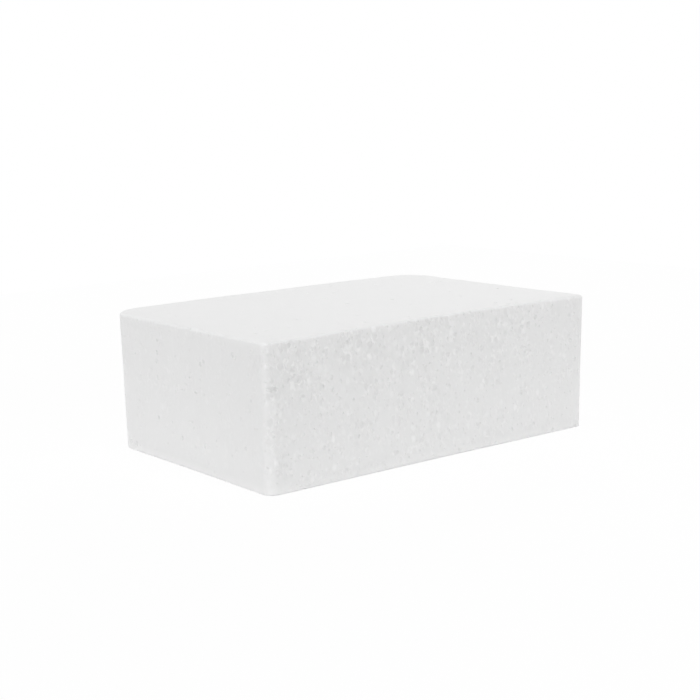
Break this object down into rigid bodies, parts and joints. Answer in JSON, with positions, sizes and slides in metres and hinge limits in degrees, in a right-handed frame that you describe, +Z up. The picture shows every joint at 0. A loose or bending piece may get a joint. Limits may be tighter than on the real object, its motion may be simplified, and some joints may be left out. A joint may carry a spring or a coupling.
{
  "type": "finish applicator sponge",
  "caption": "Hand-sized block of soft white foam with rounded upright corners and fine open cells, for wiping a finish onto a surface.",
  "frame": {"origin": "middle of the bottom face, on the surface that the block lies on", "axes": "+X along the length, +Y along the width towards the back, +Z up through the height"},
  "size_m": [0.076, 0.052, 0.0262],
  "materials": {
    "foam": "dead matt white open-cell polyurethane foam, with fine cut cells"
  },
  "bodies": {
    "root": {"sponge": "foam"}
  },
  "joints": []
}
